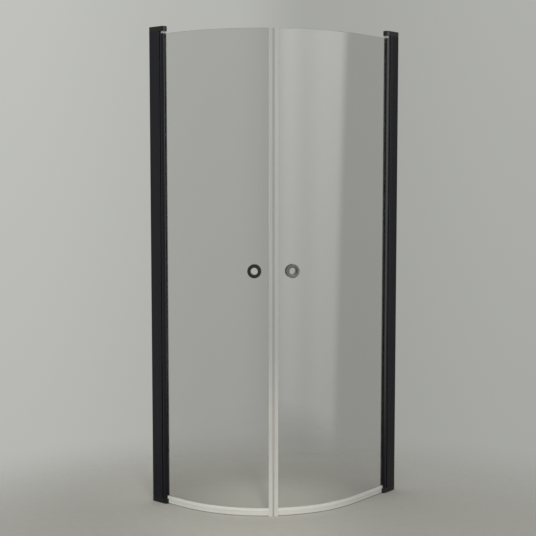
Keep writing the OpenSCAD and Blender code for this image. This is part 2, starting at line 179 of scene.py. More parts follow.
black_coat = powder_coated_aluminium()
mouth, shoulder, horn_tip, post_width = 0.044, 0.0445, 0.057, 0.030
sawn_edge, extruded_edge, horn_edge = 0.0003, 0.0006, 0.0016
flanks = (0, post_width)
long_rounds = {
    "wall_channel": [((mouth, v, 0), extruded_edge) for v in flanks],
    "hinge_carrier": [((shoulder, v, 0), extruded_edge) for v in flanks]
    + [((horn_tip, v, 0), horn_edge) for v in flanks],
}
for side in ("left", "right"):
    for part in ("wall_channel", "hinge_carrier"):
        piece = softened(side, part, sawn_edge, long_rounds[part])
        piece.data.materials.clear()
        piece.data.materials.append(black_coat)
        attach(piece, "posts")
        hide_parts(f"{side}_{part}")


# Hinge posts: round extrusions with a pocket for the glass, coated like the channels. They turn
# in the cradle of the carrier, so the sawn ends and the edges of the pocket are broken too.
for side in ("left", "right"):
    piece = softened(side, "hinge_post", sawn_edge)
    piece.data.materials.clear()
    piece.data.materials.append(black_coat)
    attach(piece, f"{side}_door")
    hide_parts(f"{side}_hinge_post")


# End caps and end plates: glass filled nylon, moulded black. The mould was spark eroded, which
# leaves an even fine texture and a dull skin. Each cap has a tongue in the hollow carrier.

# Black filled nylon: deep and dull, with pits of 0.7 mm drawn coarse so that the texture shows.
def moulded_nylon():
    pit_scale, patch_scale = 1500.0, 60.0
    material, tree, place = blank_material("spark_eroded_black_nylon")
    pits = add(tree, "ShaderNodeTexVoronoi", {"Vector": place, "Scale": pit_scale})
    patches = add(tree, "ShaderNodeTexNoise", {
        "Vector": place, "Scale": patch_scale, "Detail": 4.0})
    colour = add(tree, "ShaderNodeValToRGB", {"Fac": patches},
                 stops=((0, linear("#08080a")), (1, linear("#0e0e11"))))
    lift = add(tree, "ShaderNodeBump", {"Height": pits, "Strength": 0.4, "Distance": 0.0001})
    moulded = add(tree, "ShaderNodeBsdfPrincipled", {
        "Base Color": colour, "Roughness": 0.45, "IOR": 1.42, "Normal": lift})
    add(tree, "ShaderNodeOutputMaterial", {"Surface": moulded})
    return material


black_nylon = moulded_nylon()
cap_edge, plate_edge = 0.0004, 0.0002
for side in ("left", "right"):
    for part, body, rounded in (
            ("top_cap", "posts", cap_edge), ("bottom_cap", "posts", cap_edge),
            ("top_plate", f"{side}_door", plate_edge),
            ("bottom_plate", f"{side}_door", plate_edge)):
        piece = softened(side, part, rounded)
        piece.data.materials.clear()
        piece.data.materials.append(black_nylon)
        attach(piece, body)
        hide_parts(f"{side}_{part}")


# Pivot pins and bushes: the pins are ground stainless steel, pressed in the caps. The bushes are
# turned from light acetal, and their collars are the pale rings in the slots over and under the
# hinge posts.

# Plain metal: a grey mirror blurred by fine marks. On the pins the marks run round, from grinding,
# and on the screws they are even, from the plating or the blackening bath.
def steel(name, code, roughness, grain):
    smoothest, roughest = roughness - 0.06, roughness + 0.08
    material, tree, place = blank_material(name)
    lines = add(tree, "ShaderNodeMapping", {"Vector": place, "Scale": grain})
    marks = add(tree, "ShaderNodeTexNoise", {"Vector": lines, "Scale": 1.0, "Detail": 2.0})
    rough = add(tree, "ShaderNodeMapRange", {
        "Value": marks, "To Min": smoothest, "To Max": roughest})
    lift = add(tree, "ShaderNodeBump", {"Height": marks, "Strength": 0.2, "Distance": 0.0001})
    metal = add(tree, "ShaderNodeBsdfPrincipled", {
        "Base Color": linear(code), "Metallic": 1.0, "Roughness": rough, "Normal": lift})
    add(tree, "ShaderNodeOutputMaterial", {"Surface": metal})
    return material


# Turned acetal: a pale waxy grey that stays dull, with tool marks round it at 0.4 mm.
def turned_acetal():
    tool_marks = (40, 40, 2500)
    material, tree, place = blank_material("turned_light_acetal")
    lines = add(tree, "ShaderNodeMapping", {"Vector": place, "Scale": tool_marks})
    marks = add(tree, "ShaderNodeTexNoise", {"Vector": lines, "Scale": 1.0, "Detail": 1.0})
    colour = add(tree, "ShaderNodeValToRGB", {"Fac": marks},
                 stops=((0, linear("#868687")), (1, linear("#9b9b9c"))))
    lift = add(tree, "ShaderNodeBump", {"Height": marks, "Strength": 0.3, "Distance": 0.0001})
    waxy = add(tree, "ShaderNodeBsdfPrincipled", {
        "Base Color": colour, "Roughness": 0.42, "IOR": 1.48, "Normal": lift})
    add(tree, "ShaderNodeOutputMaterial", {"Surface": waxy})
    return material


# An outline of (radius, height) turned round an axis. A third number in a point makes its ring a
# hexagon, for a socket.
def turned(name, outline, closed, steps, stand):
    shell = bmesh.new()
    rings = []
    for radius, height, *six in outline:
        ring = []
        for k in range(steps):
            turn = math.tau*k/steps
            reach = radius
            if six:
                reach = radius*math.cos(math.pi/6)/math.cos(turn % (math.pi/3) - math.pi/6)
            if radius == 0 and k:
                ring.append(ring[0])
            else:
                ring.append(shell.verts.new(
                    (reach*math.cos(turn), reach*math.sin(turn), height)))
        rings.append(ring)
    for low, high in zip(rings, rings[1:] + (rings[:1] if closed else [])):
        for k in range(steps):
            corners = [low[k], low[(k + 1) % steps], high[(k + 1) % steps], high[k]]
            shell.faces.new([c for i, c in enumerate(corners) if c not in corners[:i]])
    bmesh.ops.recalc_face_normals(shell, faces=shell.faces)
    mesh = bpy.data.meshes.new(name)
    shell.to_mesh(mesh)
    shell.free()
    mesh.transform(stand)
    if stand.determinant() < 0:
        mesh.flip_normals()
    piece = bpy.data.objects.new(name, mesh)
    bpy.context.collection.objects.link(piece)
    return piece


def fit_on(piece, side, part, body, material, sharp=35):
    piece.data.materials.clear()
    piece.data.materials.append(material)
    piece.data.shade_smooth()
    piece.data.set_sharp_from_angle(angle=math.radians(sharp))
    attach(piece, body)
    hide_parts(f"{side}_{part}")


ground_steel = steel("ground_stainless_steel", "#c5c8ca", 0.24, (60, 60, 3000))
acetal = turned_acetal()
pin_radius, bush_radius, bore_radius, collar_radius = 0.003, 0.0045, 0.00305, 0.010
pin_edge, spigot_edge, collar_edge, rim_edge = 0.0006, 0.0005, 0.0003, 0.0004
collar_height = {"top": 0.0097, "bottom": 0.0017}
upside_down = Matrix.Rotation(math.pi, 4, "X")
for side in ("left", "right"):
    for end in ("top", "bottom"):
        low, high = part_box(f"{side}_{end}_pin")
        middle = (low + high)/2
        half = (high.z - low.z)/2
        pin = turned(f"{side}_{end}_pin_finished", [
            (0, -half), (pin_radius - pin_edge, -half), (pin_radius, -half + pin_edge),
            (pin_radius, half - pin_edge), (pin_radius - pin_edge, half), (0, half)],
            closed=False, steps=48, stand=Matrix.Translation(middle))
        fit_on(pin, side, f"{end}_pin", "posts", ground_steel)
        low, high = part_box(f"{side}_{end}_bush")
        length = high.z - low.z
        spigot = length - collar_height[end]
        stand = Matrix.Translation((middle.x, middle.y, low.z if end == "top" else high.z))
        if end == "bottom":
            stand = stand @ upside_down
        bush = turned(f"{side}_{end}_bush_finished", [
            (bore_radius, 0), (bush_radius - spigot_edge, 0), (bush_radius, spigot_edge),
            (bush_radius, spigot), (collar_radius - collar_edge, spigot),
            (collar_radius, spigot + collar_edge), (collar_radius, length - rim_edge),
            (collar_radius - rim_edge, length), (bore_radius + rim_edge, length),
            (bore_radius, length - rim_edge)], closed=True, steps=64, stand=stand)
        fit_on(bush, side, f"{end}_bush", f"{side}_door", acetal)


# Screws: the side screws are black pan heads with a socket, which lock the carrier in its channel
# from inside the shower. The cap screws are zinc plated and cut their own thread in the carrier.
def row_of_screws():
    tree = bpy.data.node_groups.new("row_of_screws", "GeometryNodeTree")
    face = tree.interface
    face.new_socket("Geometry", in_out="OUTPUT", socket_type="NodeSocketGeometry")
    for label, kind in (("Screw", "Geometry"), ("Count", "Int"), ("First place", "Vector"),
                        ("Step", "Vector"), ("Finish", "Material")):
        face.new_socket(label, in_out="INPUT", socket_type=f"NodeSocket{kind}")
    given = add(tree, "NodeGroupInput", {}).outputs
    line = add(tree, "GeometryNodeMeshLine", {
        "Count": given["Count"], "Start Location": given["First place"],
        "Offset": given["Step"]}, mode="OFFSET")
    points = add(tree, "GeometryNodeInstanceOnPoints", {
        "Points": line, "Instance": given["Screw"]})
    solid = add(tree, "GeometryNodeRealizeInstances", {"Geometry": points})
    dressed = add(tree, "GeometryNodeSetMaterial", {
        "Geometry": solid, "Material": given["Finish"]})
    add(tree, "NodeGroupOutput", {"Geometry": dressed})
    return tree


def run_nodes(piece, tree, name, values):
    modifier = piece.modifiers.new("made", "NODES")
    modifier.node_group = tree
    for item in tree.interface.items_tree:
        if item.in_out == "INPUT" and item.name in values:
            modifier[item.identifier] = values[item.name]
    return plain_mesh(piece, name)


def settle(piece, side):
    stand = side_frames[side]
    piece.data.transform(stand)
    if stand.determinant() < 0:
        piece.data.flip_normals()
    return piece


def joined(pieces, name):
    shell = bmesh.new()
    for piece in pieces:
        shell.from_mesh(piece.data)
        bpy.data.objects.remove(piece)
    mesh = bpy.data.meshes.new(name)
    shell.to_mesh(mesh)
    shell.free()
    made = bpy.data.objects.new(name, mesh)
    bpy.context.collection.objects.link(made)
    return made


screw_row = row_of_screws()
black_steel = steel("blackened_steel", "#2b2c2e", 0.36, (900, 900, 900))
zinc_steel = steel("zinc_plated_steel", "#b4b8bc", 0.30, (900, 900, 900))
shank, head_high, socket, socket_deep = 0.00175, 0.0022, 0.0017, 0.0013
side_head, side_shank, cap_head, cap_shank = 0.0038, 0.0061, 0.0036, 0.0318
tip_share, tip_long, head_edge, socket_edge, socket_cone = 0.6, 0.0008, 0.0003, 0.0002, 0.0004
pan_dome = ((1.0, 0.5), (0.96, 0.78), (0.84, 0.94), (0.7, 1.0))  # shares of radius and height
side_row = {"Count": 3, "First place": (0.029, 0.030, 0.250), "Step": (0, 0, 0.750),
            "Finish": black_steel}
cap_row = {"Count": 2, "First place": (0.0184, 0.015, 0), "Step": (0.0298, 0, 0),
           "Finish": zinc_steel}
cap_recess, full_height = 0.0027, 2.0


def screw_outline(head, shank_long):
    return [
        (0, -shank_long), (shank*tip_share, -shank_long), (shank, tip_long - shank_long),
        (shank, 0), (head - head_edge, 0), (head, head_edge),
        *((head*across, head_high*up) for across, up in pan_dome),
        (socket + head_edge, head_high), (socket, head_high - socket_edge, 6),
        (socket, head_high - socket_deep, 6), (0, head_high - socket_deep - socket_cone)]


for side in ("left", "right"):
    screw = turned("side_screw", screw_outline(side_head, side_shank), closed=False, steps=48,
                   stand=Matrix.Rotation(-math.pi/2, 4, "X"))
    row = settle(run_nodes(screw, screw_row, f"{side}_side_screws_finished", side_row), side)
    fit_on(row, side, "side_screws", "posts", black_steel)
    upper, lower = (
        turned("cap_screw", screw_outline(cap_head, cap_shank), closed=False, steps=48,
               stand=stand)
        for stand in (Matrix.Translation((0, 0, full_height - cap_recess)),
                      Matrix.Translation((0, 0, cap_recess)) @ upside_down))
    pair = joined([upper, lower], "cap_screw_pair")
    row = settle(run_nodes(pair, screw_row, f"{side}_cap_screws_finished", cap_row), side)
    fit_on(row, side, "cap_screws", "posts", zinc_steel)


# Glass doors: 6 mm clear toughened panes, ground on all edges and bent in a furnace. They are
# flat for the first part and then follow an arc. The roller furnace leaves faint waves in them.

# A closed outline swept along the plan of a door: straight from the start, then round the arc.
def length_along_a_door():
    tree = bpy.data.node_groups.new("length_along_a_door", "GeometryNodeTree")
    face = tree.interface
    face.new_socket("Geometry", in_out="OUTPUT", socket_type="NodeSocketGeometry")
    for label, kind in (
            ("Outline", "Geometry"), ("Start", "Float"), ("Straight run", "Float"),
            ("Inset", "Float"), ("Bend radius", "Float"), ("Bend turn", "Float"),
            ("Steps", "Int"), ("Finish", "Material")):
        face.new_socket(label, in_out="INPUT", socket_type=f"NodeSocket{kind}")
    given = add(tree, "NodeGroupInput", {}).outputs
    start, radius = given["Start"], given["Bend radius"]
    line = add(tree, "GeometryNodeCurvePrimitiveLine", {"End": (1, 0, 0)})
    points = add(tree, "GeometryNodeResampleCurve", {"Curve": line, "Count": given["Steps"]})
    share = add(tree, "GeometryNodeSplineParameter", {})
    flat = add(tree, "ShaderNodeMath", {0: given["Straight run"], 1: start}, operation="SUBTRACT")
    bent = add(tree, "ShaderNodeMath", {0: radius, 1: given["Bend turn"]}, operation="MULTIPLY")
    whole = add(tree, "ShaderNodeMath", {0: flat, 1: bent}, operation="ADD")
    way = add(tree, "ShaderNodeMath", {0: share, 1: whole}, operation="MULTIPLY")
    past_flat = add(tree, "ShaderNodeMath", {0: way, 1: flat}, operation="SUBTRACT")
    on_bend = add(tree, "ShaderNodeMath", {0: past_flat, 1: 0.0}, operation="MAXIMUM")
    turn = add(tree, "ShaderNodeMath", {0: on_bend, 1: radius}, operation="DIVIDE")
    on_flat = add(tree, "ShaderNodeMath", {0: way, 1: flat}, operation="MINIMUM")
    level = add(tree, "ShaderNodeMath", {0: start, 1: on_flat}, operation="ADD")
    sine = add(tree, "ShaderNodeMath", {0: turn}, operation="SINE")
    reach = add(tree, "ShaderNodeMath", {0: radius, 1: sine}, operation="MULTIPLY")
    cosine = add(tree, "ShaderNodeMath", {0: turn}, operation="COSINE")
    fall = add(tree, "ShaderNodeMath", {0: 1.0, 1: cosine}, operation="SUBTRACT")
    rise = add(tree, "ShaderNodeMath", {0: radius, 1: fall}, operation="MULTIPLY")
    x = add(tree, "ShaderNodeMath", {0: level, 1: reach}, operation="ADD")
    y = add(tree, "ShaderNodeMath", {0: given["Inset"], 1: rise}, operation="ADD")
    place = add(tree, "ShaderNodeCombineXYZ", {"X": x, "Y": y})
    path = add(tree, "GeometryNodeSetPosition", {"Geometry": points, "Position": place})
    upright = add(tree, "GeometryNodeSetCurveNormal", {"Curve": path}, mode="Z_UP")
    profile = add(tree, "GeometryNodeMeshToCurve", {"Mesh": given["Outline"]})
    swept = add(tree, "GeometryNodeCurveToMesh", {
        "Curve": upright, "Profile Curve": profile, "Fill Caps": True})
    solid = add(tree, "GeometryNodeRealizeInstances", {"Geometry": swept})
    dressed = add(tree, "GeometryNodeSetMaterial", {
        "Geometry": solid, "Material": given["Finish"]})
    add(tree, "NodeGroupOutput", {"Geometry": dressed})
    return tree


# The outline is in (depth from the outer face of the glass, height). The piece ends end_in short
# of the seam, measured along the arc.
def run_along(side, name, outline, start, end_in, material, steps=200):
    corners = [(-depth, -height, 0) for depth, height in outline]
    count = len(corners)
    mesh = bpy.data.meshes.new(name)
    mesh.from_pydata(corners, [(k, (k + 1) % count) for k in range(count)], [])
    host = bpy.data.objects.new(name, mesh)
    bpy.context.collection.objects.link(host)
    piece = run_nodes(host, door_tree, name, {
        "Start": start, "Straight run": straight_run[side], "Inset": glass_inset,
        "Bend radius": bend_radius, "Bend turn": math.pi/4 - end_in/bend_radius,
        "Steps": steps, "Finish": material})
    return settle(piece, side)


# Clear float glass, toughened: a mirror at its surface, with long faint waves of 100 to 250 mm
# from the furnace rollers. Its light grey is partly the glass's own tint and partly painted shade,
# for the shade inside the enclosure behind it. The top edge is ground, which leaves it frosted and
# a little green. Shadow rays go straight through, so that light reaches the floor inside.
def clear_glass():
    roller_waves, grit_scale = (4, 4, 9), 900.0
    ground_from = glass_high - arris*1.05  # just under the arris of the top edge
    material, tree, place = blank_material("clear_toughened_glass")
    waves = add(tree, "ShaderNodeMapping", {"Vector": place, "Scale": roller_waves})
    swell = add(tree, "ShaderNodeTexNoise", {"Vector": waves, "Scale": 1.0, "Detail": 1.0})
    lift = add(tree, "ShaderNodeBump", {"Height": swell, "Strength": 0.25, "Distance": 0.001})
    # Painted shade in part: the pane's grey is darker than real clear glass, and darkens all that
    # is seen through it.
    pane = add(tree, "ShaderNodeBsdfPrincipled", {
        "Base Color": linear("#e5e5e4"), "Roughness": 0.0, "IOR": 1.52,
        "Transmission Weight": 1.0, "Normal": lift})
    open_way = add(tree, "ShaderNodeBsdfTransparent", {"Color": linear("#f7f9f8")})
    ray = add(tree, "ShaderNodeLightPath", {}).outputs
    polished = add(tree, "ShaderNodeMixShader", {0: ray["Is Shadow Ray"], 1: pane, 2: open_way})
    grit = add(tree, "ShaderNodeTexNoise", {"Vector": place, "Scale": grit_scale, "Detail": 2.0})
    frost = add(tree, "ShaderNodeValToRGB", {"Fac": grit},
                stops=((0, linear("#7f8985")), (1, linear("#98a29d"))))
    ground = add(tree, "ShaderNodeBsdfPrincipled", {
        "Base Color": frost, "Roughness": 0.5, "IOR": 1.52})
    axes = add(tree, "ShaderNodeSeparateXYZ", {"Vector": place}).outputs
    at_top = add(tree, "ShaderNodeMath", {0: axes["Z"], 1: ground_from},
                 operation="GREATER_THAN")
    both = add(tree, "ShaderNodeMixShader", {0: at_top, 1: polished, 2: ground})
    add(tree, "ShaderNodeOutputMaterial", {"Surface": both})
    return material


door_tree = length_along_a_door()
straight_run = {"left": 0.172, "right": 0.280}
glass_inset, bend_radius, glass_thick = 0.010, 0.515, 0.006
glass_start, glass_end_in, glass_low, glass_high = 0.074, 0.00935, 0.024, 1.969
arris, hole_radius, handle_in, handle_height = 0.0006, 0.0186, 0.077, 1.006
skin = 0.00004  # air between the glass and the soft parts on it, so that no two faces coincide
drill_reach = 0.02
safety_glass = clear_glass()


# The place of a handle, on the outer face of the glass, with its axis square to the pane.
def at_handle(side):
    turn = -math.pi/4 - handle_in/bend_radius
    arc_centre = (straight_run[side], glass_inset + bend_radius, handle_height)
    return (side_frames[side] @ Matrix.Translation(arc_centre)
            @ Matrix.Rotation(turn, 4, "Z") @ Matrix.Rotation(math.pi/2, 4, "Y")
            @ Matrix.Translation((0, 0, bend_radius)))


for side in ("left", "right"):
    front, back, foot = skin, glass_thick - skin, glass_low + skin
    pane = run_along(side, f"{side}_glass_finished", [
        (arris, foot), (glass_thick - arris, foot), (back, glass_low + arris),
        (back, glass_high - arris), (glass_thick - arris, glass_high), (arris, glass_high),
        (front, glass_high - arris), (front, glass_low + arris)],
        glass_start + skin, glass_end_in + skin, safety_glass)
    bore = hole_radius + skin
    drill = turned("drill", [
        (0, -drill_reach), (bore, -drill_reach), (bore, drill_reach), (0, drill_reach)],
        closed=False, steps=96, stand=at_handle(side))
    cut = pane.modifiers.new("hole", "BOOLEAN")
    cut.operation, cut.object, cut.solver = "DIFFERENCE", drill, "EXACT"
    pane = plain_mesh(pane, f"{side}_glass_finished")
    bpy.data.objects.remove(drill)
    fit_on(pane, side, "glass", f"{side}_door", safety_glass, sharp=30)


# Glazing gaskets: a soft clear channel pushed over the edge of each pane, which wedges it in the
# pocket of the hinge post. Its legs show as a light line next to the post.

# Soft vinyl: a share of the view passes straight through, and the rest is a milky body that
# scatters light and glows from behind. Faint draw lines run along the extrusion. The share may
# be a function that adds nodes for it, and a tint is one that adds nodes after the colour.
def clear_plastic(name, codes, draw_lines, passing, roughness, tint=None):
    glowing = 0.35
    material, tree, place = blank_material(name)
    lines = add(tree, "ShaderNodeMapping", {"Vector": place, "Scale": draw_lines})
    draw = add(tree, "ShaderNodeTexNoise", {"Vector": lines, "Scale": 1.0, "Detail": 3.0})
    colour = add(tree, "ShaderNodeValToRGB", {"Fac": draw},
                 stops=((0.3, linear(codes[0])), (0.7, linear(codes[1]))))
    if tint:
        colour = tint(tree, place, colour)
    if callable(passing):
        passing = passing(tree, place)
    lift = add(tree, "ShaderNodeBump", {"Height": draw, "Strength": 0.4, "Distance": 0.0002})
    milk = add(tree, "ShaderNodeBsdfPrincipled", {
        "Base Color": colour, "Roughness": roughness, "IOR": 1.5, "Normal": lift})
    glow = add(tree, "ShaderNodeBsdfTranslucent", {"Color": colour})
    clear = add(tree, "ShaderNodeBsdfTransparent", {"Color": linear("#fafbfa")})
    milky = add(tree, "ShaderNodeMixShader", {0: glowing, 1: milk, 2: glow})
    both = add(tree, "ShaderNodeMixShader", {0: passing, 1: milky, 2: clear})
    add(tree, "ShaderNodeOutputMaterial", {"Surface": both})
    return material


gasket_vinyl = clear_plastic(
    "clear_soft_vinyl", ("#c9cac8", "#dfe0de"), (300, 300, 2), 0.992, 0.35)
gasket_edge = 0.0003
for side in ("left", "right"):
    piece = softened(side, "glazing_gasket", gasket_edge)
    fit_on(piece, side, "glazing_gasket", f"{side}_door", gasket_vinyl, sharp=30)


# Bottom seals: one extrusion of milky vinyl with a clip over the edge of the glass, a skirt, a
# soft wiper lip and a drip fin inside. The skirt is cut back beside the post.

# The clip is backed by the glass and looks white, the thin skirt is a little duller, and the lip
# is nearly clear, so the share that passes falls in steps with the height.
def passing_by_height(tree, place):
    lip, skirt, clip = ((share, share, share, 1) for share in (0.8, 0.22, 0.04))
    lip_top, skirt_foot, skirt_top, clip_foot, over_clip = 0.0044, 0.0056, 0.0208, 0.0224, 0.04
    axes = add(tree, "ShaderNodeSeparateXYZ", {"Vector": place}).outputs
    part_way = add(tree, "ShaderNodeMapRange", {
        "Value": axes["Z"], "From Min": 0.0, "From Max": over_clip})
    steps = ((lip_top, lip), (clip_foot, clip), (skirt_foot, skirt), (skirt_top, skirt))
    return add(tree, "ShaderNodeValToRGB", {"Fac": part_way},
               stops=[(height/over_clip, share) for height, share in steps])


bottom_vinyl = clear_plastic(
    "milky_extruded_vinyl", ("#dcdcd9", "#eaeae7"), (3, 3, 900), passing_by_height, 0.38)
# The section of the seal as (depth, height) in mm. The two outlines share the legs of the clip.
outer_leg = [(0, 24.0), (0, 34.3), (-0.3, 34.6), (-1.3, 34.6), (-1.6, 34.3)]
inner_leg = [(7.6, 34.3), (7.3, 34.6), (6.3, 34.6), (6.0, 34.3), (6.0, 24.0)]
clip_outline = [(-1.3, 22.4), (7.3, 22.4), (7.6, 22.7)] + inner_leg + outer_leg + [(-1.6, 22.7)]
wiper_lip = [(-0.5, 5.0), (0.19, 5.0), (0.94, 0.9), (1.3, 0.6), (1.8, 0.6), (1.95, 0.9),
             (1.19, 5.0), (1.9, 5.0)]
drip_fin = [(2.2, 5.3), (2.2, 22.4), (6.88, 22.4), (12.6, 6.0), (13.6, 6.0), (7.6, 23.2)]
outer_groove = [(-1.6, 23.1), (-1.3, 22.8), (0.4, 22.2), (0.4, 20.8), (-0.8, 20.2), (-0.8, 5.3)]
skirt_outline = wiper_lip + drip_fin + inner_leg + outer_leg + outer_groove
seal_end_in, skirt_start = 0.01935, 0.085


def in_metres(outline):
    return [(depth/1000, height/1000) for depth, height in outline]


for side in ("left", "right"):
    whole_run = bend_radius*math.pi/4 + straight_run[side]
    clip = run_along(side, "clip", in_metres(clip_outline), glass_start,
                     whole_run - skirt_start, bottom_vinyl, steps=8)
    skirt = run_along(side, "skirt", in_metres(skirt_outline), skirt_start, seal_end_in,
                      bottom_vinyl)
    seal = joined([clip, skirt], f"{side}_bottom_seal_finished")
    fit_on(seal, side, "bottom_seal", f"{side}_door", bottom_vinyl, sharp=40)


# Magnet seals: milky extrusions clipped on the free edges of the panes. Each holds a bar of
# magnetic rubber, and the two bars pull the doors shut and show as a dull line between them.

# Next to the bar the bar itself shines through the vinyl, and greys it. Close to the floor the
# vinyl is painted paler and the grey fades out: painted light, standing for the light that the
# floor throws back.
def bar_grey_with_painted_low_light(tree, place, colour):
    seam_line = 0.054  # on the seam x + y = -seam_line
    pocket_reach, slant = 0.0052, 1.41  # x + y changes 1.41 times as fast as the way to the seam
    bar_reach, fading, greyest = pocket_reach*slant, 0.001, 0.8
    painted_light_height, painted_low_light_gain = 0.30, 1.22
    axes = add(tree, "ShaderNodeSeparateXYZ", {"Vector": place}).outputs
    across = add(tree, "ShaderNodeMath", {0: axes["X"], 1: axes["Y"]}, operation="ADD")
    across = add(tree, "ShaderNodeMath", {0: across, 1: seam_line}, operation="ADD")
    across = add(tree, "ShaderNodeMath", {0: across}, operation="ABSOLUTE")
    over_bar = add(tree, "ShaderNodeMapRange", {
        "Value": across, "From Min": bar_reach, "From Max": bar_reach + fading,
        "To Min": greyest, "To Max": 0.0})
    # Painted light: over the lowest 0.3 m the grey of the bar fades out towards the floor.
    painted_light_fade = add(tree, "ShaderNodeMapRange", {
        "Value": axes["Z"], "From Min": 0.0, "From Max": painted_light_height})
    over_bar = add(tree, "ShaderNodeMath", {0: over_bar, 1: painted_light_fade}, operation="MULTIPLY")
    greyed = add(tree, "ShaderNodeMix", {
        0: over_bar, 6: colour, 7: linear("#a8a8a5")}, data_type="RGBA")
    # Painted light: the vinyl is painted paler towards the floor, 1.22 times at its foot.
    painted_low_light = add(tree, "ShaderNodeMapRange", {
        "Value": axes["Z"], "From Min": 0.0, "From Max": painted_light_height,
        "To Min": painted_low_light_gain, "To Max": 1.0})
    return add(tree, "ShaderNodeVectorMath", {0: greyed.outputs[2], 3: painted_low_light},
               operation="SCALE")


# Rubber filled with ferrite: an even dull grey with a fine grain, drawn at 2 mm so that it shows.
def magnet_rubber():
    grain_scale = 500.0
    material, tree, place = blank_material("magnetic_rubber")
    grain = add(tree, "ShaderNodeTexNoise", {"Vector": place, "Scale": grain_scale, "Detail": 4.0})
    colour = add(tree, "ShaderNodeValToRGB", {"Fac": grain},
                 stops=((0, linear("#8e8d8c")), (1, linear("#9f9d9a"))))
    lift = add(tree, "ShaderNodeBump", {"Height": grain, "Strength": 0.3, "Distance": 0.0002})
    bar = add(tree, "ShaderNodeBsdfPrincipled", {
        "Base Color": colour, "Roughness": 0.6, "Normal": lift})
    add(tree, "ShaderNodeOutputMaterial", {"Surface": bar})
    return material


seam_vinyl = clear_plastic(
    "milky_upright_vinyl", ("#bcbdba", "#d2d2cf"), (700, 700, 2), 0.12, 0.35,
    tint=bar_grey_with_painted_low_light)
rubber = magnet_rubber()
seal_edge, bar_edge = 0.0003, 0.0002
for side in ("left", "right"):
    piece = softened(side, "magnet_seal", seal_edge)
    fit_on(piece, side, "magnet_seal", f"{side}_door", seam_vinyl, sharp=30)
    piece = softened(side, "magnet_strip", bar_edge)
    fit_on(piece, side, "magnet_strip", f"{side}_door", rubber, sharp=30)


# Ring handles: two turned aluminium rings with a satin black anodised skin, screwed on a threaded
# tube through the glass, with clear washers and a sleeve between them and the pane. A finger goes
# through the hole and pulls the door.

# Black anodised aluminium: a hard dyed oxide, darker than the coat and with a tighter sheen. Its
# etched grain of 2.4 mm is drawn coarse so that it shows.
def black_anodised():
    grain_scale = 420.0
    material, tree, place = blank_material("satin_black_anodised_aluminium")
    grain = add(tree, "ShaderNodeTexNoise", {"Vector": place, "Scale": grain_scale, "Detail": 4.0})
    colour = add(tree, "ShaderNodeValToRGB", {"Fac": grain},
                 stops=((0, linear("#070706")), (1, linear("#0d0d0c"))))
    rough = add(tree, "ShaderNodeMapRange", {"Value": grain, "To Min": 0.07, "To Max": 0.12})
    lift = add(tree, "ShaderNodeBump", {"Height": grain, "Strength": 0.15, "Distance": 0.0001})
    oxide = add(tree, "ShaderNodeBsdfPrincipled", {
        "Base Color": colour, "Roughness": rough, "IOR": 1.62, "Normal": lift})
    add(tree, "ShaderNodeOutputMaterial", {"Surface": oxide})
    return material


anodised = black_anodised()
washer_vinyl = clear_plastic(
    "clear_washer_vinyl", ("#c3c5c4", "#d8dad9"), (400, 400, 400), 0.6, 0.3)
ring_radius, finger_radius, tube_radius = 0.028, 0.0142, 0.017
ring_thick, ring_lip, rim_round, foot_edge = 0.007, 0.002, 0.0015, 0.0004
mouth_round, mouth_step, rim_steps = 0.0010, 0.0003, 8
washer_thick, washer_radius, washer_edge = 0.001, 0.0255, 0.0002
ring_outline = [(tube_radius, 0), (ring_radius - foot_edge, 0), (ring_radius, foot_edge)]
for k in range(rim_steps + 1):
    turn = math.pi/2*k/rim_steps
    ring_outline.append((ring_radius - rim_round + rim_round*math.cos(turn),
                         ring_thick - rim_round + rim_round*math.sin(turn)))
ring_outline += [
    (finger_radius + mouth_round, ring_thick),
    (finger_radius + mouth_step, ring_thick - mouth_step),
    (finger_radius, ring_thick - mouth_round), (finger_radius, ring_thick - ring_lip),
    (tube_radius, ring_thick - ring_lip)]
# The pane is hollow on the inside and the ring is flat, so the middle of the ring stands off it.
inner_face = bend_radius - glass_thick - washer_thick
stand_off = inner_face - math.sqrt(inner_face**2 - washer_radius**2)
ring_in = glass_thick + washer_thick + stand_off
near, far = washer_thick + ring_thick - ring_lip, ring_lip - ring_in - ring_thick
tube_outline = [(finger_radius, far), (tube_radius, far), (tube_radius, near),
                (finger_radius, near)]
ring_seats = (
    ("outer_ring", ring_outline, Matrix.Translation((0, 0, washer_thick))),
    ("inner_ring", ring_outline, Matrix.Translation((0, 0, -ring_in)) @ upside_down),
    ("ring_tube", tube_outline, Matrix.Identity(4)))
for side in ("left", "right"):
    stand = at_handle(side)
    for part, outline, seat in ring_seats:
        piece = turned(f"{side}_{part}_finished", outline, closed=True, steps=128,
                       stand=stand @ seat)
        fit_on(piece, side, part, f"{side}_door", anodised, sharp=50)
    for part in ("ring_sleeve", "outer_washer", "inner_washer"):
        piece = softened(side, part, washer_edge)
        fit_on(piece, side, part, f"{side}_door", washer_vinyl, sharp=30)


# Studio: a plain pale floor that fades into an even pale background. A large softbox on the right
# gives the posts their long highlight and the right pane its bright band. A soft lamp in front
# lights the object, and a small warm spot lights the seals and the floor at the seam.

